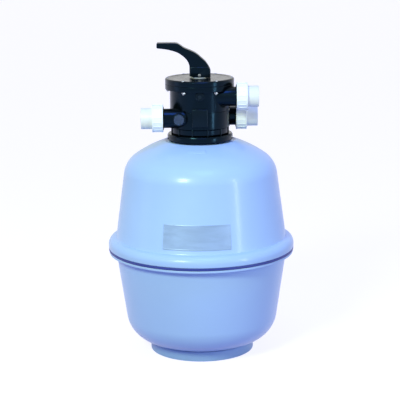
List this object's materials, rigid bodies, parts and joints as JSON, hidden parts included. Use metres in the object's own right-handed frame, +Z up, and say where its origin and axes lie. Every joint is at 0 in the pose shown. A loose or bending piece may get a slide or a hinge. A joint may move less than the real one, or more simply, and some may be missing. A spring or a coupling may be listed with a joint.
{
  "type": "sand filter tank",
  "caption": "Two-shell moulded sand filter tank on a ring foot with a top-mounted six-way lever valve and three pipe unions.",
  "frame": {"origin": "on the floor, on the tank's axis, at the centre of the bottom of the ring foot", "axes": "+Z up along the tank's axis; -Y is the front with the rating plate; +X is the side of the pump and return ports, -X the waste port and the lever's grip"},
  "size_m": [0.529, 0.529, 0.8844],
  "materials": {
    "tank_shell": "satin",
    "seal_blue": "satin",
    "valve_black": "satin",
    "union_white": "satin",
    "plate_grey": "satin",
    "sight_clear": "gloss",
    "black_rubber": "matte",
    "stainless": "satin",
    "silica_sand": "matte"
  },
  "bodies": {
    "root": {"base_pedestal": "tank_shell", "tank_lower_shell": "tank_shell", "tank_upper_shell": "tank_shell", "flange_seal": "seal_blue", "rating_plate": "plate_grey", "shoulder_badge": "tank_shell", "drain_spigot": "valve_black", "standpipe": "union_white", "lateral_hub": "union_white", "lateral_1": "union_white", "lateral_2": "union_white", "lateral_3": "union_white", "lateral_4": "union_white", "lateral_5": "union_white", "lateral_6": "union_white", "sand_bed": "silica_sand", "top_diffuser": "union_white", "neck_oring": "black_rubber", "clamp_half_front": "valve_black", "clamp_half_rear": "valve_black", "clamp_screw_left": "stainless", "clamp_screw_right": "stainless", "clamp_nut_left": "stainless", "clamp_nut_right": "stainless", "valve_body": "valve_black", "spider_gasket": "black_rubber", "valve_cover": "valve_black", "cover_oring": "black_rubber", "stem_oring": "black_rubber", "cover_screw_1": "stainless", "cover_screw_2": "stainless", "cover_screw_3": "stainless", "cover_screw_4": "stainless", "cover_screw_5": "stainless", "cover_screw_6": "stainless", "cover_nut_1": "stainless", "cover_nut_2": "stainless", "cover_nut_3": "stainless", "cover_nut_4": "stainless", "cover_nut_5": "stainless", "cover_nut_6": "stainless", "lever_washer": "union_white", "sight_glass": "sight_clear", "gauge_plug": "valve_black", "pump_union_oring": "black_rubber", "return_union_oring": "black_rubber", "waste_union_oring": "black_rubber"},
    "selector": {"stem_spring": "stainless", "spring_washer": "stainless"},
    "diverter": {"rotor": "valve_black", "lever_pin": "stainless"},
    "handle": {"lever": "valve_black"},
    "pump_pipe_end": {"pump_tailpiece": "union_white"},
    "pump_nut": {"pump_union_nut": "union_white"},
    "return_pipe_end": {"return_tailpiece": "union_white"},
    "return_nut": {"return_union_nut": "union_white"},
    "waste_pipe_end": {"waste_tailpiece": "union_white"},
    "waste_nut": {"waste_union_nut": "union_white"},
    "drain_cap": {"drain_cap": "valve_black"}
  },
  "joints": [
    {"name": "selector_turn", "type": "hinge", "parent": "root", "child": "selector", "pos_m": [0, 0, 0.76998], "axis": [0, 0, 1], "continuous": true},
    {"name": "rotor_lift", "type": "slide", "parent": "selector", "child": "diverter", "axis": [0, 0, 1], "range_m": [0, 0.0061], "deforming": ["stem_spring"]},
    {"name": "lever_press", "type": "hinge", "parent": "diverter", "child": "handle", "pos_m": [0, 0, 0.79398], "axis": [0, -1, 0], "range_deg": [0, 20], "stiffness_Nm_per_rad": 5, "springref_deg": -28.65},
    {"name": "pump_tail_slide", "type": "slide", "parent": "root", "child": "pump_pipe_end", "axis": [1, 0, 0], "range_m": [0, 0.0106]},
    {"name": "pump_nut_turn", "type": "hinge", "parent": "pump_pipe_end", "child": "pump_nut", "pos_m": [0.117, -0.045, 0.73798], "axis": [1, 0, 0], "range_deg": [0, 1080]},
    {"name": "return_tail_slide", "type": "slide", "parent": "root", "child": "return_pipe_end", "axis": [1, 0, 0], "range_m": [0, 0.0106]},
    {"name": "return_nut_turn", "type": "hinge", "parent": "return_pipe_end", "child": "return_nut", "pos_m": [0.117, 0.045, 0.66998], "axis": [1, 0, 0], "range_deg": [0, 1080]},
    {"name": "waste_tail_slide", "type": "slide", "parent": "root", "child": "waste_pipe_end", "axis": [-1, 0, 0], "range_m": [0, 0.0106]},
    {"name": "waste_nut_turn", "type": "hinge", "parent": "waste_pipe_end", "child": "waste_nut", "pos_m": [-0.117, -0.05, 0.67898], "axis": [-1, 0, 0], "range_deg": [0, 1080]},
    {"name": "drain_cap_turn", "type": "hinge", "parent": "root", "child": "drain_cap", "pos_m": [0, 0.23, 0.076], "axis": [0, 1, 0], "continuous": true}
  ],
  "couplings": [
    {"joint": "rotor_lift", "follows": "lever_press", "m_per_rad": 0.017189},
    {"joint": "pump_tail_slide", "follows": "pump_nut_turn", "m_per_rad": 0.00055704},
    {"joint": "return_tail_slide", "follows": "return_nut_turn", "m_per_rad": 0.00055704},
    {"joint": "waste_tail_slide", "follows": "waste_nut_turn", "m_per_rad": 0.00055704}
  ]
}
